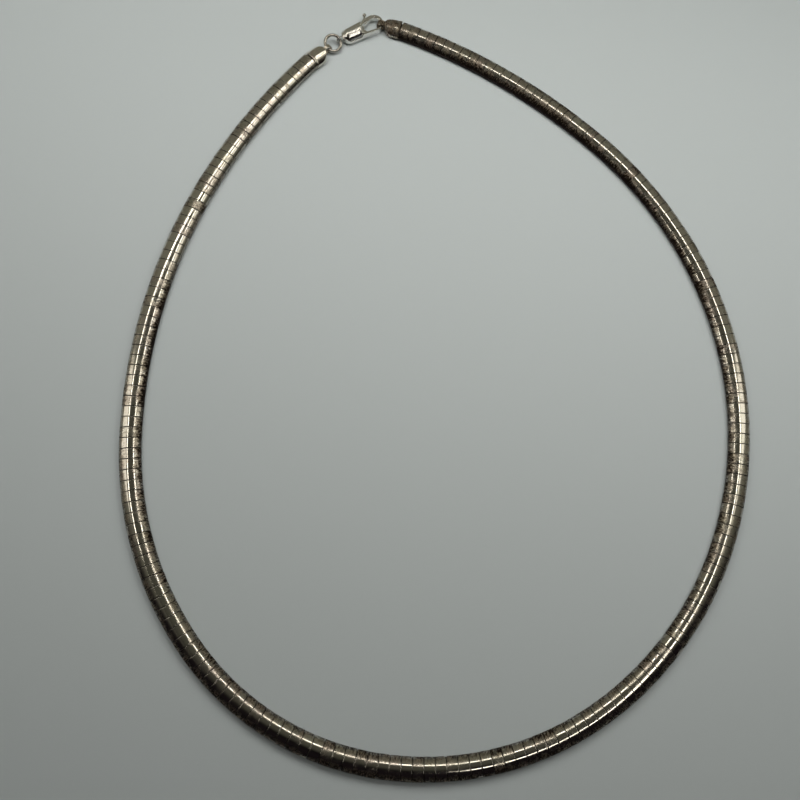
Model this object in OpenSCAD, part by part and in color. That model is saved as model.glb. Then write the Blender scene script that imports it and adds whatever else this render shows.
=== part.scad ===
// Omega necklace: domed silver plates crimped side by side over a flat woven band,
// with a crimped cap at each end, a jump ring and a lobster clasp.
// It lies open and flat. Z is up, the table is z = 0, and the origin is below the
// middle of the whole necklace. Lengths are in millimetres, angles in degrees.

/* [Plates] */
// Distance from one plate to the next along the necklace
pitch = 2.0; // [1.6:0.1:3]
// Bare gap between two neighbouring plates, on the centre line
plate_gap = 0.2; // [0.18:0.01:0.3]
// Width of a plate across the necklace
plate_w = 4.1; // [3.8:0.1:5]
// Height of a plate from the table to its crest
plate_h = 1.9; // [1.8:0.05:2.2]
// Radius of the rolled side of a plate
side_r = 0.75; // [0.7:0.05:0.85]
// Thickness of the sheet that a plate is stamped from
plate_wall = 0.35; // [0.3:0.01:0.4]
// Width of the slit that the two folded lips leave open underneath
slit_w = 0.6; // [0.4:0.1:1]

/* [Core] */
// Width of the woven band inside the plates
band_w = 3.0; // [2.6:0.1:3.1]
// Thickness of the woven band
band_t = 0.65; // [0.5:0.05:0.7]
// Height of the underside of the band above the table
band_z = 0.45; // [0.42:0.01:0.5]
// Length of band that is held inside each end cap
band_grip = 1.3; // [1:0.1:1.5]

/* [End caps] */
// Bare band between the last plate and the cap, on the centre line
cap_gap = 0.42; // [0.38:0.02:0.6]
// Angle by which the left cap leans to the inside of the necklace
lean_left = 7; // [0:1:7]
// Angle by which the right cap leans to the inside of the necklace
lean_right = 7; // [0:1:7]
// Width of the cap where it grips the band
cap_w = 4.2; // [4:0.1:4.6]
// Height of the cap where it grips the band
cap_h = 2.0; // [1.9:0.05:2.2]
// Distance from the last plate to the front of the cap
cap_front = 3.64; // [3.5:0.02:3.66]
// Distance from the last plate to the middle of the rolled loop
loop_u = 4.4; // [4.35:0.01:4.45]
// Radius of the hole in the rolled loop
loop_hole_r = 0.74; // [0.72:0.01:0.75]
// Thickness of the rolled loop
loop_wall = 0.2; // [0.18:0.01:0.22]
// Height of the middle of the rolled loop
loop_z = 1.06; // [1:0.01:1.1]
// Width of the rolled loop on the side of the jump ring
loop_w_left = 0.9; // [0.8:0.05:1]
// Width of the rolled loop on the side of the clasp's hook
loop_w_right = 1.2; // [1:0.05:1.2]

/* [Jump ring] */
// Radius of the ring to the middle of its wire
ring_r = 1.7; // [1.68:0.01:1.72]
// Radius of the ring's wire
ring_wire_r = 0.34; // [0.32:0.01:0.35]
// Angle by which the ring tips up on its outer side
ring_tilt = 18; // [0:1:20]
// Distance by which the ring's middle stands out from the line through its two loops
ring_shift = 0.3; // [0:0.05:0.35]

/* [Clasp] */
// Height of the clasp's middle plane
clasp_z = 1.15; // [1.15:0.01:1.2]
// Heading of the clasp, anticlockwise from +X
clasp_turn = 28; // [26:0.5:30]
// Radius of the round end of the body beside the tail eye
tail_r = 1.6; // [1.5:0.05:1.65]
// Radius of the round front of the hook
front_r = 2.0; // [1.95:0.05:2.05]
// Distance from the tail eye to the middle of the round front
front_x = 8.3; // [8:0.1:8.5]
// Radius of the window's round front, inside the hook
window_r = 1.35; // [1.25:0.05:1.4]
// Half of the hook's height
hook_half_h = 0.36; // [0.34:0.01:0.38]
// Half of the body's height
body_half_h = 1.15; // [1:0.05:1.15]
// Angle by which the lever is pulled open, clockwise seen from above
lever_open = 0; // [0:1:25]

/* [Hidden] */
$fn = 64;
eps = 0.01;

// Route of the centre line, anticlockwise seen from above, from the left cap down the
// left side, round the front of the neck and up to the right cap. It is a chain of
// tangent arcs that all turn left. Columns: number of plates, radius of the arc.
ROUTE = [
    [20, 123],
    [25, 110],
    [20, 65],
    [20, 52],
    [20, 57],
    [20, 64],
    [20, 71],
    [25, 79],
    [25, 123],
];
PLATES = 0;
RADIUS = 1;
// Where the first plate starts: x, y and heading of the centre line
route_start = [-26.497, 64.971, 227.16];
plate_count = plates_before(len(ROUTE));
left_count = plates_before(4);

function plates_before(i) = i == 0 ? 0 : plates_before(i - 1) + ROUTE[i - 1][PLATES];
// Pose [x, y, heading] after going a length s along an arc of radius r to the left
function arc_end(p, s, r) =
    let (h = p[2], a = s / r * 180 / PI)
    [p[0] + r * (sin(h + a) - sin(h)), p[1] - r * (cos(h + a) - cos(h)), h + a];
function arc_len(i) = ROUTE[i][PLATES] * pitch;
function arc_start(i) =
    i == 0 ? route_start : arc_end(arc_start(i - 1), arc_len(i - 1), ROUTE[i - 1][RADIUS]);
// Pose of the centre line at a length s from the start of arc i
function route_pose(s, i = 0) =
    s <= arc_len(i) || i == len(ROUTE) - 1
        ? arc_end(arc_start(i), s, ROUTE[i][RADIUS])
        : route_pose(s - arc_len(i), i + 1);
route_len = plate_count * pitch;
route_end = route_pose(route_len);

// Puts a child that is drawn along +X at a pose [x, y, heading]
module at(pose) {
    translate([pose[0], pose[1], 0])
        rotate(pose[2])
            children();
}

// Stands a flat profile (across, up) on end and draws it out along +X, centred on x = 0
module bar(length) {
    translate([-length / 2, 0, 0])
        rotate([90, 0, 90])
            linear_extrude(length)
                children();
}

// Domed section: flat underside, round sides and one flatter arc over the crest, all
// tangent. inset moves every line inwards, for the cavity.
module dome(w, h, r, inset = 0) {
    a = w / 2 - r;
    k = h - r;
    crest_r = (a * a + k * k - r * r) / (2 * (k - r));
    crest_z = h - crest_r;
    // The crest's sector runs through the middles of the side arcs. Its half-width is
    // low_x at the height low, and top_x at the crest.
    low = r / 2;
    low_x = a * (low - crest_z) / (r - crest_z);
    top_x = a * (h - crest_z) / (r - crest_z);
    for (side = [-1, 1])
        translate([side * a, r])
            circle(r - inset);
    translate([-a, inset])
        square([2 * a, r - inset]);
    intersection() {
        translate([0, crest_z])
            circle(crest_r - inset, $fn = 180);
        polygon([[-low_x, low], [low_x, low], [top_x, h], [-top_x, h]]);
    }
}

module plate() {
    bar(pitch - plate_gap)
        difference() {
            dome(plate_w, plate_h, side_r);
            dome(plate_w, plate_h, side_r, plate_wall);
            translate([-slit_w / 2, -eps])
                square([slit_w, plate_wall + 2 * eps]);
        }
}

// Plates first to last - 1, counted from the left cap
module plate_row(first, last) {
    for (k = [first : last - 1])
        at(route_pose((k + 0.5) * pitch))
            plate();
}

module plates_left() {
    color([0.66, 0.64, 0.56])
        plate_row(0, left_count);
}

module plates_right() {
    color([0.62, 0.58, 0.51])
        plate_row(left_count, plate_count);
}

// Poses of the two caps: u = 0 at the end of the last plate, +X towards the clasp
cap_pose_left = [route_start[0], route_start[1], route_start[2] - 180 - lean_left];
cap_pose_right = [route_end[0], route_end[1], route_end[2] + lean_right];

// A point given in a pose's own frame
function in_frame(pose, x, y) =
    let (h = pose[2])
    [pose[0] + x * cos(h) - y * sin(h), pose[1] + x * sin(h) + y * cos(h)];

// Section of the woven band: [across, up], a flat strip with blunt edges
band_blunt = 0.2;
function band_section() =
    let (a = band_w / 2, b = a - band_blunt, low = band_z, high = band_z + band_t)
    [
        [b, low], [a, low + band_blunt], [a, high - band_blunt], [b, high],
        [-b, high], [-a, high - band_blunt], [-a, low + band_blunt], [-b, low],
    ];

// Rings of the band: one in each cap, and the others in equal steps along the route
band_steps = 97;
band_reach = cap_gap + band_grip;
function turned(pose, angle) = [pose[0], pose[1], pose[2] + angle];
function band_poses() = [
    [each in_frame(cap_pose_left, band_reach, 0), cap_pose_left[2] + 180],
    turned(route_start, -lean_left / 2),
    for (j = [1 : band_steps - 1])
        route_pose(route_len * j / band_steps),
    turned(route_end, lean_right / 2),
    [each in_frame(cap_pose_right, band_reach, 0), cap_pose_right[2]],
];

module core_band() {
    poses = band_poses();
    section = band_section();
    sides = len(section);
    last = (len(poses) - 1) * sides;
    points = [
        for (pose = poses, p = section)
            [each in_frame(pose, 0, p[0]), p[1]]
    ];
    faces = [
        [for (k = [0 : sides - 1]) k],
        for (j = [0 : len(poses) - 2], k = [0 : sides - 1])
            let (next = (k + 1) % sides)
            [j * sides + next, j * sides + k, (j + 1) * sides + k, (j + 1) * sides + next],
        [for (k = [sides - 1 : -1 : 0]) last + k],
    ];
    color([0.45, 0.43, 0.38])
        polyhedron(points, faces);
}

// Cap seen from above: straight over the band, then two round shoulders
module cap_plan() {
    shoulder_u = 1.2;
    shoulder_r = 2.7;
    translate([cap_gap, -cap_w / 2])
        square([shoulder_u - cap_gap, cap_w]);
    intersection() {
        translate([shoulder_u - eps, -cap_w / 2])
            square([cap_front - shoulder_u + eps, cap_w]);
        translate([shoulder_u, cap_w / 2 - shoulder_r])
            circle(shoulder_r, $fn = 180);
        translate([shoulder_u, shoulder_r - cap_w / 2])
            circle(shoulder_r, $fn = 180);
    }
}

// Cap seen from the side: both faces close in towards the loop
module cap_side() {
    lift_u = 1.9;
    polygon([
        [cap_gap, 0],
        [lift_u, 0],
        [cap_front, 0.4],
        [cap_front, loop_z + loop_hole_r + loop_wall - 0.06],
        [lift_u, cap_h + eps],
        [cap_gap, cap_h + eps],
    ]);
}

// Crimped cap with its rolled loop, u = 0 at the last plate and +X towards the clasp
module cap(loop_w) {
    rim_len = 0.32;
    rim_out = 0.07;
    pocket_clear = 0.1;
    difference() {
        union() {
            intersection() {
                translate([cap_front / 2, 0, 0])
                    bar(cap_front)
                        dome(cap_w, cap_h, side_r);
                linear_extrude(cap_h + eps)
                    cap_plan();
                translate([0, cap_w, 0])
                    rotate([90, 0, 0])
                        linear_extrude(2 * cap_w)
                            cap_side();
            }
            translate([cap_gap + rim_len / 2, 0, 0])
                bar(rim_len)
                    dome(cap_w + 2 * rim_out, cap_h + rim_out, side_r);
            translate([loop_u, 0, loop_z])
                rotate([90, 0, 0])
                    cylinder(r = loop_hole_r + loop_wall, h = loop_w, center = true);
        }
        translate([loop_u, 0, loop_z])
            rotate([90, 0, 0])
                cylinder(r = loop_hole_r, h = cap_w, center = true);
        translate([cap_gap - eps, -band_w / 2 - pocket_clear, band_z - pocket_clear])
            cube([band_grip + pocket_clear, band_w + 2 * pocket_clear, band_t + 2 * pocket_clear]);
    }
}

module end_cap_left() {
    color([0.6, 0.55, 0.42])
        at(cap_pose_left)
            cap(loop_w_left);
}

module end_cap_right() {
    color([0.5, 0.44, 0.36])
        at(cap_pose_right)
            cap(loop_w_right);
}

loop_left = in_frame(cap_pose_left, loop_u, 0);
loop_right = in_frame(cap_pose_right, loop_u, 0);

// The clasp's own frame has its zero at the middle of the tail eye and +X towards the
// front. The hook crosses the cap's loop low on its round front. hook_slack is the
// distance from the middle of the hook's bar out to the middle of the loop's hole.
front_y = 0.35;
window_y = 0.15;
tail_x = 2.15;
tail_y = 0.15;
cross_angle = -34;
hook_slack = -0.1;
cross_r = (front_r + window_r) / 2 + hook_slack;
cross_x = front_x + cross_r * cos(cross_angle);
cross_y = front_y + cross_r * sin(cross_angle);
clasp_at = loop_right - in_frame([0, 0, clasp_turn], cross_x, cross_y);
clasp_pose = [clasp_at[0], clasp_at[1], clasp_turn];

module jump_ring() {
    across = clasp_at - loop_left;
    middle = (clasp_at + loop_left) / 2;
    rise = clasp_z - loop_z;
    color([0.8, 0.8, 0.78])
        translate([middle[0], middle[1], (clasp_z + loop_z) / 2])
            rotate([0, -atan2(rise, norm(across)), atan2(across[1], across[0])])
                rotate([ring_tilt, 0, 0])
                    translate([0, ring_shift, 0])
                        rotate_extrude($fn = 96)
                            translate([ring_r, 0])
                                circle(ring_wire_r, $fn = 32);
}

// Two circles joined by straight sides: [x, y, r] each, the second further along X. The
// sides lie a hair inside the outer tangents.
module tapered_link(a, b) {
    d = norm([b[0] - a[0], b[1] - a[1]]);
    heading = atan2(b[1] - a[1], b[0] - a[0]);
    open = acos((a[2] - b[2]) / d);
    hair = 0.01;
    function on(c, angle) =
        let (r = c[2] - hair)
        [c[0] + r * cos(angle), c[1] + r * sin(angle)];
    translate([a[0], a[1]])
        circle(a[2], $fn = 128);
    translate([b[0], b[1]])
        circle(b[2], $fn = 128);
    polygon([
        on(a, heading + open),
        on(a, heading - open),
        on(b, heading - open),
        on(b, heading + open),
    ]);
}

module clasp_outline() {
    tapered_link([tail_x, tail_y, tail_r], [front_x, front_y, front_r]);
}

// The open window inside the hook
module window() {
    tapered_link([5.75, -0.15, 0.9], [front_x, window_y, window_r]);
}

// The lever's pivot, and the slanted cut between the lever's tip and the hook's tip
pivot = [6.5, 1.5];
pivot_disc_r = 0.62;
cut_inner = [9.25, 1.15];
cut_outer = [8.55, 2.75];
cheek_x = 7.05;
tip_clear = 0.08;
slot_half_h = 0.5;
rivet_r = 0.25;
rivet_clear = 0.02;

// Everything outside the window on the lever's side, from x = from to the slanted cut.
// back sets the cut back towards the pivot.
module lever_side(from, back) {
    polygon([
        [from, 0.5],
        [cut_inner[0] - back + 0.28, 0.5],
        [cut_inner[0] - back, cut_inner[1]],
        [cut_outer[0] - back, cut_outer[1]],
        [from, cut_outer[1]],
    ]);
}

module body_plan() {
    difference() {
        clasp_outline();
        window();
        lever_side(cheek_x, 0);
    }
}

// The body's two curved faces: along its length, and across its width
module lens() {
    lens_x = 3.6;
    lens_r = 20;
    lens_half_h = 1.21;
    intersection_for (side = [-1, 1])
        translate([lens_x, 0, side * (lens_r - lens_half_h)])
            rotate([90, 0, 0])
                cylinder(r = lens_r, h = 3 * front_x, center = true, $fn = 360);
}

module crown() {
    crown_r = 4.2;
    intersection_for (side = [-1, 1])
        translate([0, tail_y, side * (crown_r - body_half_h)])
            rotate([0, 90, 0])
                cylinder(r = crown_r, h = 3 * front_x, center = true, $fn = 180);
}

module tail_eye() {
    eye_r = 0.8;
    eye_wire_r = 0.22;
    rotate([90, 0, 0])
        rotate_extrude($fn = 64)
            translate([eye_r, 0])
                circle(eye_wire_r, $fn = 32);
}

module on_clasp() {
    translate([clasp_at[0], clasp_at[1], clasp_z])
        rotate(clasp_turn)
            children();
}

module clasp_body() {
    slot_r = 0.7;
    color([0.74, 0.74, 0.7])
        on_clasp()
            difference() {
                union() {
                    intersection() {
                        translate([0, 0, -2 * body_half_h])
                            linear_extrude(4 * body_half_h)
                                body_plan();
                        lens();
                        crown();
                    }
                    translate([0, 0, -hook_half_h])
                        linear_extrude(2 * hook_half_h)
                            body_plan();
                    tail_eye();
                }
                translate([pivot[0], pivot[1], -slot_half_h])
                    cylinder(r = slot_r, h = 2 * slot_half_h);
                translate([pivot[0], 0.2, -slot_half_h])
                    cube([1, 3, 2 * slot_half_h]);
                translate([pivot[0], pivot[1], -2])
                    cylinder(r = rivet_r + rivet_clear, h = 4);
            }
}

module lever_plan() {
    translate(pivot)
        circle(pivot_disc_r);
    intersection() {
        difference() {
            clasp_outline();
            window();
        }
        lever_side(pivot[0], tip_clear);
    }
}

module about_pivot(angle) {
    translate([pivot[0], pivot[1], 0])
        rotate(angle)
            translate([-pivot[0], -pivot[1], 0])
                children();
}

module clasp_lever() {
    knob = [7.35, 3.1];
    knob_r = 0.48;
    neck_r = 0.26;
    reach = knob - pivot;
    color([0.8, 0.8, 0.77])
        on_clasp()
            about_pivot(-lever_open)
            difference() {
                union() {
                    translate([0, 0, -hook_half_h])
                        linear_extrude(2 * hook_half_h)
                            lever_plan();
                    translate([pivot[0], pivot[1], 0])
                        rotate([0, 90, atan2(reach[1], reach[0])])
                            cylinder(r = neck_r, h = norm(reach));
                    translate([knob[0], knob[1], 0])
                        sphere(knob_r, $fn = 48);
                }
                translate([pivot[0], pivot[1], -2])
                    cylinder(r = rivet_r + 2 * rivet_clear, h = 4);
            }
}

module lever_rivet() {
    rivet_half_h = 1.02;
    color([0.7, 0.7, 0.66])
        on_clasp()
            translate([pivot[0], pivot[1], -rivet_half_h])
                cylinder(r = rivet_r, h = 2 * rivet_half_h);
}

plates_left();
plates_right();
core_band();
end_cap_left();
end_cap_right();
jump_ring();
clasp_body();
clasp_lever();
lever_rivet();
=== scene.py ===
"""Omega necklace: domed silver plates crimped side by side over a flat woven band, a
crimped cap at each end, a jump ring and a lobster clasp. It lies open and flat on a pale
table. Sizes are in millimetres and become metres where a mesh is made. Those of the table
and the lamps are in metres."""

import bmesh
import bpy
import numpy as np
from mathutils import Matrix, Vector


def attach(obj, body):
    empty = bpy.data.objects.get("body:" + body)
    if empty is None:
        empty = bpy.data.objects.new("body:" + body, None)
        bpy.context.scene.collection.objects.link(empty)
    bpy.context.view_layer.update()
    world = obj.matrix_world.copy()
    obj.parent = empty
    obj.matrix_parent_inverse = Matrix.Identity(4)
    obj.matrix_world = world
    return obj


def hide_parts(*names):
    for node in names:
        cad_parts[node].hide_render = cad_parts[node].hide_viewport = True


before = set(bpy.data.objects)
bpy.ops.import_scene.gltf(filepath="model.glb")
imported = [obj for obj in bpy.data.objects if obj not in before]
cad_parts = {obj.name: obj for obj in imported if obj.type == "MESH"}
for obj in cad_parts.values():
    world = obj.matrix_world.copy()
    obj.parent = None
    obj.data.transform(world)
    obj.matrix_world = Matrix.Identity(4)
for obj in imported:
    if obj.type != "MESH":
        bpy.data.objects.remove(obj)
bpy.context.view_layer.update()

MM = 0.001
scene = bpy.context.scene


# Camera: a phone held 150 mm above the table, a little to the front and left of the
# middle of the necklace, looking down and slightly towards the clasp.
EYE = np.array([-13.382, -44.966, 150])
EYE_TILT = (13.53, -2.21, 0)
SENSOR, LENS, NEAREST = 36, 36, 5

view = bpy.data.cameras.new("phone")
view.sensor_width = SENSOR
view.lens = LENS
view.clip_start = NEAREST * MM
eye = bpy.data.objects.new("phone", view)
eye.location = EYE * MM
eye.rotation_euler = np.radians(EYE_TILT)
scene.collection.objects.link(eye)
scene.camera = eye


# Tarnished silver: the finish that every piece shares. Bare polished metal shows where it
# is rubbed. Sulphide makes soft warm patches and dark freckles, and dirt stays in joints.
# The same darkening also carries painted shade low on the plates' walls.
FRECKLES_PER_MM, HUES_PER_MM = (4.2, 1.9, 1.9), 0.3
PATCH_EDGES, FRECKLE_EDGES, EDGE_DROP = (0.44, 0.64), (0.49, 0.68), 0.1
HUE_DRIFT = {"From Min": 0.35, "From Max": 0.65, "To Min": 0.475, "To Max": 0.51}
WARM_ROUGHER, DARK_ROUGHER = 0.26, 0.3
DENT_STRENGTH = 0.5


def nodes_of(tree, **kinds):
    """Adds one shader node of each kind and gives them by name."""
    return {name: tree.nodes.new("ShaderNode" + kind) for name, kind in kinds.items()}


def set_values(node, values):
    """Gives a node's inputs their values by the inputs' names."""
    for key, value in values.items():
        node.inputs[key].default_value = value


def colour_mix(node):
    """Sets a Mix node to colour and gives its factor, first, second and result sockets."""
    node.data_type = "RGBA"
    first, second = [socket for socket in node.inputs if socket.type == "RGBA"]
    result = next(socket for socket in node.outputs if socket.type == "RGBA")
    return node.inputs["Factor"], first, second, result


def tarnish_group():
    """Patches are a low noise and freckles a high one, each cut by a smooth step that
    starts lower, and weighs more, where the spot is worn. Colour goes from bare to warm by
    the patches, its hue drifts slowly along the piece, and it goes to dark by the sum of
    freckles and of dirt and painted shade. Warm and dark spots are rougher. Height is the
    freckles' noise."""
    group = bpy.data.node_groups.new("tarnish", "ShaderNodeTree")
    inputs = {"Place": "Vector", "Bare": "Color", "Warm": "Color", "Dark": "Color",
              "Worn": "Float", "Dirt": "Float", "Patches": "Float", "Freckles": "Float",
              "Patch scale": "Float", "Bare roughness": "Float"}
    outputs = {"Colour": "Color", "Roughness": "Float", "Height": "Float"}
    for way, sockets in (("INPUT", inputs), ("OUTPUT", outputs)):
        for name, kind in sockets.items():
            group.interface.new_socket(name, in_out=way, socket_type="NodeSocket" + kind)
    start = group.nodes.new("NodeGroupInput").outputs
    end = group.nodes.new("NodeGroupOutput").inputs
    n = nodes_of(group, patch="TexNoise", freckle="TexNoise", stretch="Mapping",
                 patch_step="MapRange", freckle_step="MapRange", patch_low="Math",
                 patch_high="Math", freckle_low="Math", freckle_high="Math", patch_by="Math",
                 freckle_by="Math", patch_worn="Math", freckle_worn="Math", dark_sum="Math",
                 warm="Mix", drift="TexNoise", drift_step="MapRange", hue="HueSaturation",
                 dark="Mix", rough_warm="Math", rough="Math")
    link = group.links.new
    link(start["Place"], n["patch"].inputs["Vector"])
    link(start["Patch scale"], n["patch"].inputs["Scale"])
    set_values(n["patch"], {"Detail": 3})
    set_values(n["stretch"], {"Scale": FRECKLES_PER_MM})
    link(start["Place"], n["stretch"].inputs["Vector"])
    link(n["stretch"].outputs[0], n["freckle"].inputs["Vector"])
    set_values(n["freckle"], {"Scale": 1, "Detail": 5, "Roughness": 0.7})
    for kind, amount, edges in (("patch", "Patches", PATCH_EDGES),
                                ("freckle", "Freckles", FRECKLE_EDGES)):
        step, by, worn = n[kind + "_step"], n[kind + "_by"], n[kind + "_worn"]
        step.interpolation_type = "SMOOTHSTEP"
        for name, socket, edge in zip(("_low", "_high"), ("From Min", "From Max"), edges):
            shifted = n[kind + name]
            shifted.operation = "MULTIPLY_ADD"
            link(start["Worn"], shifted.inputs[0])
            shifted.inputs[1].default_value = -EDGE_DROP
            shifted.inputs[2].default_value = edge
            link(shifted.outputs[0], step.inputs[socket])
        by.operation = worn.operation = "MULTIPLY"
        link(n[kind].outputs["Fac"], step.inputs["Value"])
        link(step.outputs["Result"], by.inputs[0])
        link(start[amount], by.inputs[1])
        link(by.outputs[0], worn.inputs[0])
        link(start["Worn"], worn.inputs[1])
    n["dark_sum"].operation = "ADD"
    n["dark_sum"].use_clamp = True
    link(n["freckle_worn"].outputs[0], n["dark_sum"].inputs[0])
    link(start["Dirt"], n["dark_sum"].inputs[1])
    link(start["Place"], n["drift"].inputs["Vector"])
    set_values(n["drift"], {"Scale": HUES_PER_MM})
    link(n["drift"].outputs["Fac"], n["drift_step"].inputs["Value"])
    set_values(n["drift_step"], HUE_DRIFT)
    link(n["drift_step"].outputs["Result"], n["hue"].inputs["Hue"])
    for kind, by, below, above in (("warm", "patch_worn", start["Bare"], start["Warm"]),
                                   ("dark", "dark_sum", n["hue"].outputs[0], start["Dark"])):
        mix = colour_mix(n[kind])
        link(n[by].outputs[0], mix[0])
        link(below, mix[1])
        link(above, mix[2])
    link(colour_mix(n["warm"])[3], n["hue"].inputs["Color"])
    link(colour_mix(n["dark"])[3], end["Colour"])
    n["rough_warm"].operation = n["rough"].operation = "MULTIPLY_ADD"
    n["rough_warm"].inputs[1].default_value = WARM_ROUGHER
    n["rough"].inputs[1].default_value = DARK_ROUGHER
    link(n["patch_worn"].outputs[0], n["rough_warm"].inputs[0])
    link(start["Bare roughness"], n["rough_warm"].inputs[2])
    link(n["dark_sum"].outputs[0], n["rough"].inputs[0])
    link(n["rough_warm"].outputs[0], n["rough"].inputs[2])
    link(n["rough"].outputs[0], end["Roughness"])
    link(n["freckle"].outputs["Fac"], end["Height"])
    return group


TARNISH = tarnish_group()


def silver(name, bare, warm, dark, patches, freckles, patch_mm, dent_mm, rough=0.07, laid=False):
    """Metal whose colour, roughness and fine dents come from the tarnish group. Where laid
    is true, the mesh has its own place in millimetres, its own worn values, and its own
    values of dirt and painted shade."""
    mat = bpy.data.materials.new(name)
    mat.use_nodes = True
    tree = mat.node_tree
    metal = tree.nodes["Principled BSDF"]
    n = nodes_of(tree, tarnish="Group", bump="Bump")
    tarnish = n["tarnish"]
    tarnish.node_tree = TARNISH
    set_values(metal, {"Metallic": 1.0})
    set_values(tarnish, {"Bare": (*bare, 1), "Warm": (*warm, 1), "Dark": (*dark, 1), "Worn": 1,
                         "Patches": patches, "Freckles": freckles,
                         "Patch scale": 1 / patch_mm, "Bare roughness": rough})
    set_values(n["bump"], {"Strength": DENT_STRENGTH, "Distance": dent_mm * MM})
    link = tree.links.new
    link(tarnish.outputs["Colour"], metal.inputs["Base Color"])
    link(tarnish.outputs["Roughness"], metal.inputs["Roughness"])
    link(tarnish.outputs["Height"], n["bump"].inputs["Height"])
    link(n["bump"].outputs["Normal"], metal.inputs["Normal"])
    if laid:
        for key, socket, output in (("lay", "Place", "Vector"), ("worn", "Worn", "Fac"),
                                    ("dirt", "Dirt", "Fac")):
            where = tree.nodes.new("ShaderNodeAttribute")
            where.attribute_name = key
            link(where.outputs[output], tarnish.inputs[socket])
    else:
        m = nodes_of(tree, place="TexCoord", per_mm="VectorMath")
        m["per_mm"].operation = "SCALE"
        set_values(m["per_mm"], {"Scale": 1 / MM})
        link(m["place"].outputs["Object"], m["per_mm"].inputs[0])
        link(m["per_mm"].outputs[0], tarnish.inputs["Place"])
    return mat


# Plates: each is stamped from silver sheet, domed, and folded round the band so that two
# lips almost meet underneath. They lie side by side along tangent arcs that all turn left.
# ARCS has the number of plates and the radius of each arc.
ARCS = np.array([[20, 123], [25, 110], [20, 65], [20, 52], [20, 57],
                 [20, 64], [20, 71], [25, 79], [25, 123]], float)
LEFT_ARCS = 4
LEFT_COUNT, PLATE_COUNT = int(ARCS[:LEFT_ARCS, 0].sum()), int(ARCS[:, 0].sum())
START = (-26.497, 64.971, np.radians(227.16))
PITCH, PLATE_LONG, PLATE_W, PLATE_H = 2.0, 1.94, 4.1, 1.9
SIDE_R, WALL, HALF_SLIT = 0.75, 0.35, 0.3
SIDE_STEPS, CREST_STEPS = 4, 3
TINY = 1e-9


def arc_on(spot, radius, length):
    """Position and heading a length further on an arc. The heading grows by length over
    radius, and the point moves round the arc's middle."""
    x, y, heading = spot
    h = heading + length / radius
    return np.array([x + radius * (np.sin(h) - np.sin(heading)),
                     y - radius * (np.cos(h) - np.cos(heading)), h])


def centre_line(s):
    """Position and heading at lengths s along the arcs, each starting where the last one
    ends."""
    out = np.zeros((3, s.size))
    spot, begin = START, 0.0
    for count, radius in ARCS:
        here = s >= begin - TINY
        out[:, here] = arc_on(spot, radius, s - begin)[:, here]
        spot = arc_on(spot, radius, count * PITCH)
        begin += count * PITCH
    return out


def dome_section(inset):
    """Points (across, up) from one lip over the top to the other, inset from the outside:
    a flat foot, a round side of radius SIDE_R and a flatter arc over the crest, tangent to
    each other."""
    a, k = PLATE_W / 2 - SIDE_R, PLATE_H - SIDE_R
    crest_r = (a * a + k * k - SIDE_R * SIDE_R) / (2 * (k - SIDE_R))
    crest_z = PLATE_H - crest_r
    meet = np.arctan2(a, SIDE_R - crest_z)
    side = np.linspace(-np.pi / 2, np.pi / 2 - meet, SIDE_STEPS + 1)
    crest = np.linspace(meet, 0, CREST_STEPS + 1)[1:]
    half = np.concatenate([
        [[HALF_SLIT, inset]],
        np.c_[a + (SIDE_R - inset) * np.cos(side), SIDE_R + (SIDE_R - inset) * np.sin(side)],
        np.c_[(crest_r - inset) * np.sin(crest), crest_z + (crest_r - inset) * np.cos(crest)],
    ])
    return np.concatenate([half, half[-2::-1] * [-1, 1]])


def grid_faces(rows, cols, loop=False):
    """Quads of a grid of points numbered row by row. With loop, each row is closed."""
    r = np.arange(rows - 1)[:, None] * cols
    c = np.arange(cols if loop else cols - 1)
    after = (c + 1) % cols
    return np.stack([r + c, r + after, r + cols + after, r + cols + c], -1).reshape(-1, 4)


def piece(name, points_mm, faces, material, body, slot, **attributes):
    """Makes one smooth mesh piece in metres, at the origin, that rides on a body. Each
    attribute has one number or one vector for each point."""
    mesh = bpy.data.meshes.new(name)
    mesh.from_pydata((np.asarray(points_mm) * MM).tolist(), [], faces)
    mesh.polygons.foreach_set("use_smooth", np.ones(len(mesh.polygons), bool))
    for key, values in attributes.items():
        values = np.asarray(values, np.float32)
        kind, part = ("FLOAT", "value") if values.ndim == 1 else ("FLOAT_VECTOR", "vector")
        mesh.attributes.new(key, kind, "POINT").data.foreach_set(part, values.ravel())
    mesh.materials.append(material)
    made = bpy.data.objects.new(name, mesh)
    scene.collection.objects.link(made)
    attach(made, body)
    return made


PLATE_SILVER = silver("plate silver", (0.67, 0.645, 0.575), (0.45, 0.385, 0.295),
                      (0.032, 0.022, 0.018), patches=1.0, freckles=1.0, patch_mm=1.6,
                      dent_mm=0.002, laid=True)

# Place in half lengths, depth in walls, and dirt of the rings at a plate's ends.
END_RINGS = np.array([[0.92, 0, 0], [0.965, 0, 0.85], [1.0, 0.12, 1.0]])
INSIDE_RINGS = np.array([[1, 1, 1], [-1, 1, 1]])
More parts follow.
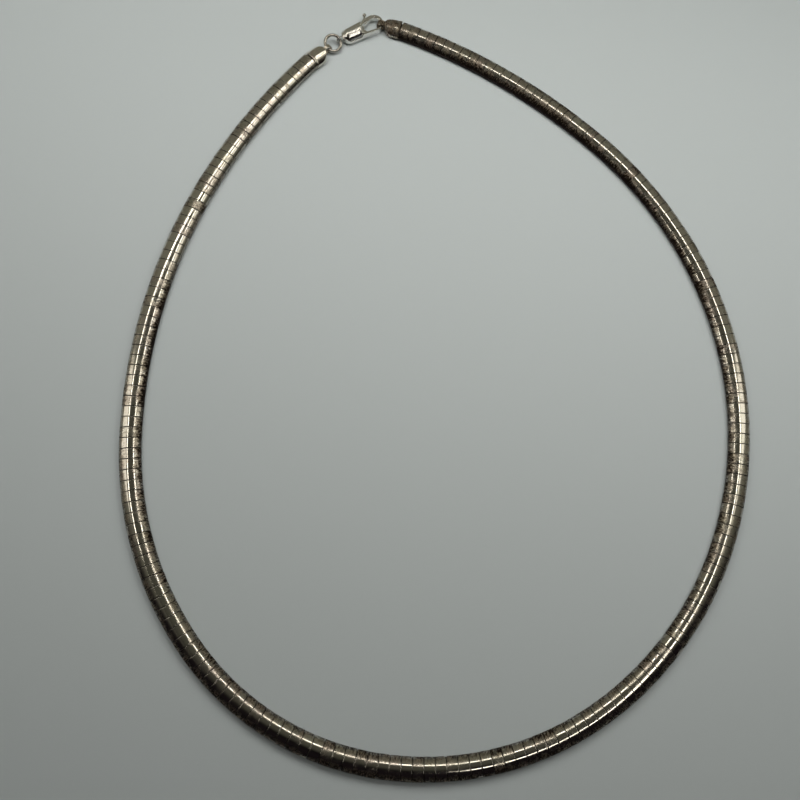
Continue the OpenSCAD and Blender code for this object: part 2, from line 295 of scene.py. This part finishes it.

# How far the crests lean outwards, how much painted shade darkens the plates' low inner
# walls, and how much tarnish the plates have on the inner and outer side of the loop and
# all over, at lengths along the centre line.
LEAN = np.array([[0, 0.1], [95, 0.1], [118, 0.33], [160, 0.33], [180, 0.2], [215, 0.22],
                 [232, 0.1], [272, 0.1], [290, 0.24], [308, 0.22], [322, 0.08], [390, 0.08]])
# Painted shade on the plates' low inner walls, stronger along some stretches of the loop.
INNER_WALL_SHADE = np.array([[0, 0.3], [50, 0.45], [70, 0.8], [100, 0.4], [130, 0.3],
                       [250, 0.3], [300, 0.75], [335, 1.0], [390, 1.0]])
INNER_WEAR = np.array([[0, 0], [50, 0.3], [68, 1.0], [95, 0.8], [120, 0.6],
                       [285, 0.65], [325, 0.95], [355, 1.0], [380, 0.5], [390, 0.4]])
OUTER_WEAR = np.array([[0, 0.3], [60, 0.35], [95, 0.5], [130, 0.8], [170, 1.0], [215, 0.95],
                       [238, 0.55], [290, 0.45], [330, 0.7], [355, 0.7], [375, 0.3], [390, 0.3]])
CAP_WEAR = np.array([[0, 0.32], [32, 0.08], [50, 0], [320, 0], [345, 0.2], [390, 0.32]])
CREST_WORN, SIDE_WORN, MOST_WORN = 0.22, 1.05, 1.5
# The second number is painted shade on the plates' low outer walls; the first is dirt in the
# joints.
JOINT_DIRT, OUTER_WALL_SHADE = 0.72, 0.4

# Across a plate, the distance from its middle where tarnish starts on the inner and outer
# side and where painted shade starts low on the walls, and the width over which each grows.
INNER_SIDE, OUTER_SIDE, SHADED_WALL_SIDE = (0.95, 0.45), (0.75, 0.6), (1.7, 0.3)

# What chance does to each plate, as one standard deviation.
LUCK_SEED = 7
TURN_LUCK, ROLL_LUCK, HEIGHT_LUCK = np.radians(0.3), np.radians(0.5), 0.004
WORN_LUCK, DIRT_LUCK = 0.15, 0.25


def plate_shape():
    """One plate on a grid of (section point, ring): three rings round off each end, and
    two come back along the inside."""
    outer, inner = dome_section(0.0), dome_section(WALL)
    rings = np.concatenate([END_RINGS[::-1] * [-1, 1, 1], END_RINGS, INSIDE_RINGS])
    along, sunk, dirt = rings.T
    across_up = outer[:, None] + (inner - outer)[:, None] * sunk[:, None]
    along = np.broadcast_to(along * PLATE_LONG / 2, across_up.shape[:2])
    return np.concatenate([along[..., None], across_up], -1), np.broadcast_to(dirt, along.shape)


def ramp(value, low, wide):
    """0 up to low, then growing evenly to 1 over a width."""
    return np.clip((value - low) / wide, 0, 1)


def plate_run(name, first, last, node):
    """All plates from first to last - 1 on the centre line. They are wedges: their length
    goes with the distance from the arc's middle. Each has a small turn, roll and height of
    its own. Tarnish grows from the rubbed crest to the sides and towards the caps, dirt
    lies at the ends, and painted shade darkens the walls low down."""
    shape, dirt = plate_shape()
    rows, rings = shape.shape[:2]
    count = last - first
    luck = np.random.default_rng(LUCK_SEED).normal(0, 1, (PLATE_COUNT, 5))[first:last, :, None]
    turn, roll, height, wear, soil = luck.transpose(1, 0, 2)
    s = (np.arange(first, last)[:, None] + 0.5) * PITCH
    x, y, heading = centre_line(s.ravel())[..., None]
    heading = heading + TURN_LUCK * turn
    u, v, w = np.broadcast_to(shape.reshape(-1, 3), (count, rows * rings, 3)).transpose(2, 0, 1)
    lay = np.stack([u + s, v, w], -1)
    bend = np.repeat(1 / ARCS[:, 1], ARCS[:, 0].astype(int))[first:last, None]
    u = u * (1 - v * bend)
    side = np.where(v > 0, ramp(v, *INNER_SIDE) * np.interp(s, *INNER_WEAR.T),
                    ramp(-v, *OUTER_SIDE) * np.interp(s, *OUTER_WEAR.T))
    worn = CREST_WORN + SIDE_WORN * side + np.interp(s, *CAP_WEAR.T) + WORN_LUCK * wear
    worn = np.clip(worn, 0, MOST_WORN)
    dirt = np.clip(dirt.reshape(1, -1) * (JOINT_DIRT + DIRT_LUCK * soil), 0, 1)
    # Painted shade darkens the low walls and joins the joint dirt in one value.
    wall_shade = np.where(v > 0, np.interp(s, *INNER_WALL_SHADE.T), OUTER_WALL_SHADE)
    dirt = np.maximum(dirt, ramp(np.abs(v), *SHADED_WALL_SIDE) * wall_shade)
    v = v + (ROLL_LUCK * roll - np.interp(s, *LEAN.T)) * w / PLATE_H
    w = w * (1 + HEIGHT_LUCK * height)
    cos, sin = np.cos(heading), np.sin(heading)
    points = np.stack([x + u * cos - v * sin, y + u * sin + v * cos, w], -1)
    from_point = np.arange(count)[:, None, None] * rows * rings
    quads = grid_faces(rows, rings, loop=True)[:, ::-1]
    lips = np.array([np.arange(rings), rows * rings - 1 - np.arange(rings)])
    faces = (from_point + quads).reshape(-1, 4).tolist()
    faces += (from_point + lips).reshape(-1, rings).tolist()
    made = piece(name, points.reshape(-1, 3), faces, PLATE_SILVER, "necklace", "plate_silver",
                 lay=lay.reshape(-1, 3), worn=worn.ravel(), dirt=dirt.ravel())
    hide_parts(node)


plate_run("plate_shells_left", 0, LEFT_COUNT, "plates_left")
plate_run("plate_shells_right", LEFT_COUNT, PLATE_COUNT, "plates_right")


# Band: a flat woven strap of fine silver wire that runs inside all the plates and ends in
# the caps. It shows only through the joints and through the slit underneath.
BAND_W, BAND_H, BAND_Z, BAND_ROUND = 3.0, 0.65, 0.45, 0.2
GRIP, BAND_STEP, CORNER_POINTS, FLAT_AT = 1.3, 0.5, 4, 0.75
BAND_WORN = 0.8
HOLLOW_DIRT = {"From Min": 0.3, "From Max": -0.8, "To Max": 0.7}


def band_sweep():
    """A rounded strap section carried along the centre line, and straight on for the grip
    at both ends. Corner points lie on quarter circles, and the second half of the section
    is the first one turned half round."""
    turn = np.linspace(0, np.pi / 2, CORNER_POINTS)
    middle = [BAND_W / 2 - BAND_ROUND, BAND_H / 2 - BAND_ROUND]
    corner = np.c_[np.cos(turn), np.sin(turn)] * BAND_ROUND + middle
    quarter = np.concatenate([[[BAND_W / 2, 0]], corner, [[FLAT_AT, BAND_H / 2]]])
    half = np.concatenate([quarter, quarter[:0:-1] * [-1, 1]])
    v, w = np.concatenate([half, -half]).T
    total = PLATE_COUNT * PITCH
    s = np.r_[-GRIP, np.arange(0, total + BAND_STEP / 2, BAND_STEP), total + GRIP]
    x, y, h = centre_line(np.clip(s, 0, total))
    over = s - np.clip(s, 0, total)
    x, y = x + over * np.cos(h), y + over * np.sin(h)
    x, y, h, s = (values[:, None] for values in (x, y, h, s))
    up = w + BAND_Z + BAND_H / 2
    points = np.stack(np.broadcast_arrays(x - v * np.sin(h), y + v * np.cos(h), up), -1)
    lay = np.stack(np.broadcast_arrays(s, v, w), -1)
    end = (s.size - 1) * v.size
    faces = grid_faces(s.size, v.size, loop=True).tolist()
    faces += [list(range(v.size))[::-1], list(range(end, end + v.size))]
    return points.reshape(-1, 3), faces, lay.reshape(-1, 3)


def woven(mat, wire_mm, deep_mm):
    """Adds an over-and-under relief. Its height is a sine along the band times a sine
    across it, each as long as two wires, and the hollows hold more dirt."""
    tree = mat.node_tree
    n = nodes_of(tree, lay="Attribute", parts="SeparateXYZ", along="Math", across="Math",
                 wave_along="Math", wave_across="Math", over="Math", hollow="MapRange",
                 relief="Bump")
    n["lay"].attribute_name = "lay"
    link = tree.links.new
    link(n["lay"].outputs["Vector"], n["parts"].inputs[0])
    for way, axis in (("along", "X"), ("across", "Y")):
        n[way].operation, n["wave_" + way].operation = "MULTIPLY", "SINE"
        n[way].inputs[1].default_value = np.pi / wire_mm
        link(n["parts"].outputs[axis], n[way].inputs[0])
        link(n[way].outputs[0], n["wave_" + way].inputs[0])
    n["over"].operation = "MULTIPLY"
    link(n["wave_along"].outputs[0], n["over"].inputs[0])
    link(n["wave_across"].outputs[0], n["over"].inputs[1])
    link(n["over"].outputs[0], n["hollow"].inputs["Value"])
    set_values(n["hollow"], HOLLOW_DIRT)
    tarnish = next(node for node in tree.nodes if node.type == "GROUP")
    link(n["hollow"].outputs["Result"], tarnish.inputs["Dirt"])
    set_values(n["relief"], {"Distance": deep_mm * MM})
    link(n["over"].outputs[0], n["relief"].inputs["Height"])
    metal = tree.nodes["Principled BSDF"]
    link(metal.inputs["Normal"].links[0].from_socket, n["relief"].inputs["Normal"])
    link(n["relief"].outputs["Normal"], metal.inputs["Normal"])


BAND_SILVER = silver("band silver", (0.5, 0.48, 0.42), (0.3, 0.25, 0.17), (0.05, 0.04, 0.03),
                     patches=0.8, freckles=0.5, patch_mm=1.0, dent_mm=0.01, laid=True)
woven(BAND_SILVER, wire_mm=0.16, deep_mm=0.05)
band_points, band_faces, band_lay = band_sweep()
band = piece("woven_band", band_points, band_faces, BAND_SILVER, "necklace", "band_silver",
             lay=band_lay, worn=np.full(len(band_points), BAND_WORN))
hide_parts("core_band")


# End caps: sheet silver stamped as a flat box over the last plate, with sloping shoulders
# and a tab that is rolled into a loop for the jump ring or the clasp hook. CAPS has each
# cap's tarnish, place and heading in degrees.
CAP_SILVER = silver("cap silver", (0.72, 0.69, 0.6), (0.42, 0.34, 0.265), (0.05, 0.04, 0.03),
                    patches=1.0, freckles=0.9, patch_mm=0.9, dent_mm=0.012, rough=0.14,
                    laid=True)
CAPS = {"left": (0.12, -26.497, 64.971, 40.16), "right": (0.95, -7.405, 73.040, 166.02)}
CAP_BACK, CAP_EDGE, CAP_FADE = 0.3, 0.3, 1.2
MERGE_MM = 0.0005


def largest_part(count, a, b):
    """Marks the points of the largest connected part, given the two ends of each edge. Each
    point takes the lowest number among its neighbours until nothing changes."""
    label = np.arange(count)
    while True:
        low = np.minimum(label[a], label[b])
        new = label.copy()
        np.minimum.at(new, a, low)
        np.minimum.at(new, b, low)
        new = new[new]
        if (new == label).all():
            return label == np.bincount(label).argmax()
        label = new


def cast_copy(node, name, material, slot, voxel_mm, rounds, body="necklace", form=None, worn=None):
    """A soft-edged copy of a CAD node: its triangles are merged, remeshed in small cubes,
    reshaped by form, and smoothed in rounds that move each point halfway to the mean of
    its neighbours. Only the largest part is kept. worn is for a material that is laid."""
    work = bmesh.new()
    work.from_mesh(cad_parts[node].data)
    bmesh.ops.scale(work, vec=(1 / MM,) * 3, verts=work.verts)
    bmesh.ops.remove_doubles(work, verts=work.verts, dist=MERGE_MM)
    mesh = bpy.data.meshes.new(name)
    work.to_mesh(mesh)
    work.free()
    rough = bpy.data.objects.new(name + "_rough", mesh)
    scene.collection.objects.link(rough)
    cubes = rough.modifiers.new("cubes", "REMESH")
    cubes.mode = "VOXEL"
    cubes.voxel_size = voxel_mm
    evaluated = rough.evaluated_get(bpy.context.evaluated_depsgraph_get())
    done = bpy.data.meshes.new_from_object(evaluated)
    bpy.data.objects.remove(rough)
    count = len(done.vertices)
    points = np.empty(count * 3)
    done.vertices.foreach_get("co", points)
    points = points.reshape(-1, 3)
    if form:
        points = form(points)
    ends = np.empty(len(done.edges) * 2, int)
    done.edges.foreach_get("vertices", ends)
    a, b = ends.reshape(-1, 2).T
    near = np.bincount(ends, minlength=count)[:, None]
    for _ in range(rounds):
        total = np.stack([np.bincount(a, points[b, k], count) + np.bincount(b, points[a, k], count)
                          for k in range(3)], -1)
        points = 0.5 * points + 0.5 * total / near
    faces = np.empty(len(done.polygons) * 4, int)
    done.polygons.foreach_get("vertices", faces)
    faces = faces.reshape(-1, 4)
    keep = largest_part(count, a, b)
    points = points[keep]
    faces = (np.cumsum(keep) - 1)[faces[keep[faces[:, 0]]]].tolist()
    laid = {}
    if worn is not None:
        laid = {"lay": points, "worn": np.full(len(points), worn), "dirt": np.zeros(len(points))}
    made = piece(name, points, faces, material, body, slot, **laid)
    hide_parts(node)


def closed_up(x, y, heading):
    """Draws the open end of a cap back over the joint. In the cap's frame, u runs away
    from the chain, and points up to CAP_EDGE move back by CAP_BACK, less further on."""
    turn = np.radians(heading)
    way = np.array([np.cos(turn), np.sin(turn), 0])

    def form(points):
        u = (points - [x, y, 0]) @ way
        return points - CAP_BACK * np.clip(1 - (u - CAP_EDGE) / CAP_FADE, 0, 1)[:, None] * way

    return form


for hand, (tarnish, *spot) in CAPS.items():
    cast_copy(f"end_cap_{hand}", f"crimp_cap_{hand}", CAP_SILVER, "cap_silver",
              voxel_mm=0.05, rounds=6, form=closed_up(*spot), worn=tarnish)


# Jump ring: round silver wire bent to a circle and pinched shut. It joins the left cap to
# the tail eye of the clasp, and leans a little.
RING_SILVER = silver("ring silver", (0.74, 0.72, 0.66), (0.42, 0.38, 0.3), (0.06, 0.05, 0.04),
                     patches=0.3, freckles=0.4, patch_mm=1.0, dent_mm=0.002)
cast_copy("jump_ring", "wire_ring", RING_SILVER, "ring_silver", voxel_mm=0.04, rounds=2)


# Clasp: a lobster claw cast in silver and polished. Its body has a tail eye, a finger
# window and a hook that is closed by a sprung lever on a rivet. CLASP_EYE has the place
# and heading of the tail eye, and the sizes below are in a frame that starts there.
CLASP_SILVER = silver("clasp silver", (0.84, 0.83, 0.79), (0.62, 0.58, 0.5), (0.1, 0.09, 0.08),
                      patches=0.1, freckles=0.06, patch_mm=1.5, dent_mm=0.002, rough=0.19)
CLASP_EYE = (-20.405, 70.062, 1.15, np.radians(28))
AXIS_Y, THINNEST = 0.15, 0.36
LENS_H, LENS_R, LENS_X = 1.21, 20, 3.6
CROWN_H, CROWN_R = 1.15, 4.2
LINK_X, LINK_LONG, LINK_RISE, LINK_R, LINK_GROWS = 2.15, 6.15, 0.2, 1.6, 0.4
WINDOW_SHIFT, WINDOW_ALONG = 0.8, ([3, 5, 7.2], [0, 1, 0])
WINDOW_LOW, WINDOW_HIGH = (-1.5, -0.7), (0.3, 0.9)
STEP_LINE = np.array([[-1.9, 4.0], [-1.6, 4.35], [-1.3, 4.8], [-0.4, 5.05],
                      [0.42, 5.25], [0.9, 5.6], [1.45, 6.3], [2.2, 6.8]])
STEP_EDGE, TAIL_END, FORM_EDGE = (-0.05, 0.3), (0.7, 2.2), (-0.15, 0.1)
FLANK_W, FLANK_CURVE, DOME_W, DOME_H = 0.5, 0.6, 1.2, 0.24
BEAD_BEFORE, BEAD_W, BEAD_H, BEAD_IN = 0.22, 0.14, 0.14, (0, 0.4)
ROLL, ROLL_END = 0.12, (4.4, 6.4)
RIM, RISE, FOOT, BELLY = (-0.35, 0.6), (1.1, -0.65), (-0.62, 0.3), 0.2
ARM_H, ARM_THINS, ARM_X, FORK_H, FORK_SIDE, FORK_END = 0.56, 0.05, 6, 0.22, (0.2, 0.8), (7.0, 7.6)
RIVET_HEADS = 0.8


def step(low, high, value):
    """Smooth step: 0 below low, 1 above high, and a cubic with level ends between."""
    t = np.clip((value - low) / (high - low), 0, 1)
    return t * t * (3 - 2 * t)


def source_half(x, y):
    """Half the height of the CAD body: the lower of a long arc over the length and a
    round one over the width, and no less than THINNEST."""
    lens = LENS_H - (LENS_R - np.sqrt(LENS_R ** 2 - (x - LENS_X) ** 2))
    crown = CROWN_H - (CROWN_R - np.sqrt(np.clip(CROWN_R ** 2 - (y - AXIS_Y) ** 2, 0, None)))
    return np.maximum(np.minimum(lens, crown), THINNEST)


def claw_form(points):
    """Gives the clasp body a pillow-like back that rolls to the front and ends in a
    slanting step with a bead, and thin arms. The distance d in from the outline of a
    tapered link sets the new top and bottom. Each is a rim, a flank that rises by a power
    of d, a dome that rises by a square, and a roll that goes with y. RIM, RISE and FOOT
    have a value and what the tail adds. Heights are mapped from the CAD body's to the new
    ones. The window's tail end also moves towards the hook."""
    ex, ey, ez, turn = CLASP_EYE
    dx, dy = points[:, 0] - ex, points[:, 1] - ey
    x, y = dx * np.cos(turn) + dy * np.sin(turn), dy * np.cos(turn) - dx * np.sin(turn)
    present = source_half(x, y)
    shift = (WINDOW_SHIFT * np.interp(x, *WINDOW_ALONG) * step(*WINDOW_LOW, y)
             * (1 - step(*WINDOW_HIGH, y)))
    x = x + shift
    t = np.clip((x - LINK_X) / LINK_LONG, 0, 1)
    d = LINK_R + LINK_GROWS * t - np.hypot(x - LINK_X - LINK_LONG * t, y - AXIS_Y - LINK_RISE * t)
    ahead = x - np.interp(y, *STEP_LINE.T)
    past = step(*STEP_EDGE, ahead)
    tail = 1 - step(*TAIL_END, x)
    flank = np.clip(d / FLANK_W, 0, 1) ** FLANK_CURVE
    dome = DOME_H * (1 - np.clip(1 - (d - FLANK_W) / DOME_W, 0, 1) ** 2)
    bead = BEAD_H * np.exp(-((ahead + BEAD_BEFORE) / BEAD_W) ** 2) * step(*BEAD_IN, d)
    roll = ROLL * (y - AXIS_Y) * (1 - tail) * (1 - step(*ROLL_END, x))
    rim, rise, foot = (own + more * tail for own, more in (RIM, RISE, FOOT))
    top = rim + rise * flank + dome + roll + bead
    low = foot - BELLY * flank - dome + roll
    fork = FORK_H * step(*FORK_SIDE, y) * (1 - step(*FORK_END, x))
    arm = np.minimum(np.maximum(ARM_H - ARM_THINS * (x - ARM_X) + fork, THINNEST), present)
    top, low = top + past * (arm - top), np.maximum(low + past * (-arm - low), -present)
    share = np.clip((points[:, 2] - ez + present) / (2 * present), 0, 1)
    z = points[:, 2] + (ez + low + (top - low) * share - points[:, 2]) * step(*FORM_EDGE, d)
    return np.c_[points[:, 0] + shift * np.cos(turn), points[:, 1] + shift * np.sin(turn), z]


def rivet_form(points):
    """Draws the rivet's heads in towards the eye's height."""
    height = CLASP_EYE[2]
    return np.c_[points[:, :2], height + (points[:, 2] - height) * RIVET_HEADS]


cast_copy("clasp_body", "claw_body", CLASP_SILVER, "clasp_silver", voxel_mm=0.045, rounds=7,
          form=claw_form)
cast_copy("clasp_lever", "claw_lever", CLASP_SILVER, "clasp_silver", voxel_mm=0.03, rounds=3,
          body="lever")
cast_copy("lever_rivet", "claw_rivet", CLASP_SILVER, "clasp_silver", voxel_mm=0.02, rounds=2,
          form=rivet_form)


# Table: a smooth pale grey sheet under the necklace, painted matt. It is larger than
# anything the camera sees.
TABLE_HALF, TABLE_GREY, TABLE_ROUGH = 2, (0.488, 0.523, 0.503, 1), 0.6


def table_top():
    """A square of one face at height 0."""
    corners = [(x * TABLE_HALF, y * TABLE_HALF, 0) for x, y in ((-1, -1), (1, -1), (1, 1), (-1, 1))]
    mesh = bpy.data.meshes.new("table_top")
    mesh.from_pydata(corners, [], [(0, 1, 2, 3)])
    mat = bpy.data.materials.new("table grey")
    mat.use_nodes = True
    paint = mat.node_tree.nodes["Principled BSDF"]
    set_values(paint, {"Base Color": TABLE_GREY, "Roughness": TABLE_ROUGH})
    mesh.materials.append(mat)
    top = bpy.data.objects.new("table_top", mesh)
    scene.collection.objects.link(top)


table_top()


# Light: the silver mirrors an open, squarish ring lamp 1.8 m above, two soft panels, and a
# room that is dark in front and overhead and pale behind. A small lamp close above and a
# wide one 4 m up light the table alone.
FAR = 1.8
RING_WAY = np.array([(8, -22.5), (12.5, -20), (17, -17.5), (20, -14), (20, -9), (17.5, -3),
                     (16.5, 3), (16.5, 7), (17, 10), (18, 13), (19, 16), (18, 19.5),
                     (14, 21.5), (8, 22), (0, 22), (-6, 22.5), (-12, 22.5), (-18, 22),
                     (-23, 19.5), (-26, 14), (-24.5, 8), (-23, 3), (-22, 0)], float)
RING_POINTS, RING_WIDE, RING_GLOW, RING_COLOUR = 93, 0.12, 4.6, (1.0, 0.95, 0.86, 1)
WHITE = (1.0, 1.0, 1.0)
FRONT_DARK, BACK_PALE, OVERHEAD = (0.008, 0.006, 0.007, 1), (0.17, 0.165, 0.13, 1), (0, 0, 0, 1)
SOFT_LIGHT, BACKDROP = (0.04, 0.04, 0.04, 1), (0.3, 0.32, 0.31, 1)
FRONT_TO_BACK = {"From Min": -0.3, "From Max": 0.12}
OVERHEAD_EDGE = {"From Min": 0.925, "From Max": 0.965, "To Max": 0.6}


def ring_lamp():
    """A flat strip facing down, wide across a path whose points are leans in degrees from
    straight up, made even by interpolation over the points' number."""
    number = np.arange(len(RING_WAY))
    t = np.linspace(0, number[-1], RING_POINTS)
    leans = np.stack([np.interp(t, number, lean) for lean in RING_WAY.T], -1)
    way = FAR * np.tan(np.radians(leans))
    run = np.gradient(way, axis=0)
    run /= np.linalg.norm(run, axis=1)[:, None]
    across = run[:, ::-1] * [-1, 1] * RING_WIDE / 2
    flat = np.stack([way - across, way + across], 1).reshape(-1, 2)
    points = np.c_[flat, np.full(len(flat), FAR)]
    mesh = bpy.data.meshes.new("ring_lamp")
    mesh.from_pydata(points.tolist(), [], grid_faces(RING_POINTS, 2).tolist())
    mat = bpy.data.materials.new("lamp glow")
    mat.use_nodes = True
    tree = mat.node_tree
    shine = tree.nodes.new("ShaderNodeEmission")
    set_values(shine, {"Color": RING_COLOUR, "Strength": RING_GLOW})
    tree.links.new(shine.outputs[0], tree.nodes["Material Output"].inputs["Surface"])
    mesh.materials.append(mat)
    lamp = bpy.data.objects.new("ring_lamp", mesh)
    lamp.visible_camera = lamp.visible_diffuse = lamp.visible_shadow = False
    scene.collection.objects.link(lamp)


def panel(name, lean_x, lean_y, size, glow, colour, far=FAR, mirrored=True):
    """A rectangle of light whose direction leans by two angles from straight up, facing
    the middle of the necklace. glow is its radiance, so power is glow * pi * area. It is
    either mirrored by the silver or lights the table."""
    lamp = bpy.data.lights.new(name, "AREA")
    lamp.shape = "RECTANGLE"
    lamp.size, lamp.size_y = size
    lamp.energy = glow * np.pi * size[0] * size[1]
    lamp.color = colour
    made = bpy.data.objects.new(name, lamp)
    way = Vector((np.tan(np.radians(lean_x)), np.tan(np.radians(lean_y)), 1)).normalized()
    made.location = way * far
    made.rotation_euler = way.to_track_quat("Z", "Y").to_euler()
    made.visible_glossy = mirrored
    made.visible_diffuse = not mirrored
    made.visible_camera = False
    scene.collection.objects.link(made)


def room():
    """The world, by the kind of ray. A mirrored ray sees a tone that goes from dark to
    pale from front to back, darkened near straight up. A diffuse ray gets an even soft
    light, and the camera sees an even backdrop."""
    world = bpy.data.worlds.new("room")
    scene.world = world
    world.use_nodes = True
    tree = world.node_tree
    n = nodes_of(tree, way="TexCoord", parts="SeparateXYZ", front="MapRange", tone="Mix",
                 above="MapRange", inside="Mix", ray="LightPath", soft="Mix", shown="Mix")
    n["front"].interpolation_type = n["above"].interpolation_type = "SMOOTHSTEP"
    set_values(n["front"], FRONT_TO_BACK)
    set_values(n["above"], OVERHEAD_EDGE)
    tone, inside, soft, shown = (colour_mix(n[key]) for key in ("tone", "inside", "soft", "shown"))
    tone[1].default_value = FRONT_DARK
    tone[2].default_value = BACK_PALE
    inside[2].default_value = OVERHEAD
    soft[2].default_value = SOFT_LIGHT
    shown[2].default_value = BACKDROP
    link = tree.links.new
    link(n["way"].outputs["Generated"], n["parts"].inputs[0])
    link(n["parts"].outputs["Y"], n["front"].inputs["Value"])
    link(n["parts"].outputs["Z"], n["above"].inputs["Value"])
    link(n["front"].outputs["Result"], tone[0])
    link(n["above"].outputs["Result"], inside[0])
    link(tone[3], inside[1])
    link(n["ray"].outputs["Is Camera Ray"], shown[0])
    link(n["ray"].outputs["Is Diffuse Ray"], soft[0])
    link(inside[3], soft[1])
    link(soft[3], shown[1])
    link(shown[3], tree.nodes["Background"].inputs["Color"])


ring_lamp()
panel("side_left", -52, 16, (0.5, 1.2), 0.95, (1.0, 0.94, 0.84))
panel("side_right", 42, 15, (0.32, 1.2), 1.1, (1.0, 0.96, 0.86))
panel("table_fill", 6, 29.5, (0.34, 0.1), 2.98, WHITE, far=0.157, mirrored=False)
panel("table_base", 0, 10, (2, 2), 1.15, WHITE, far=4, mirrored=False)
room()
scene.view_settings.view_transform = "Standard"
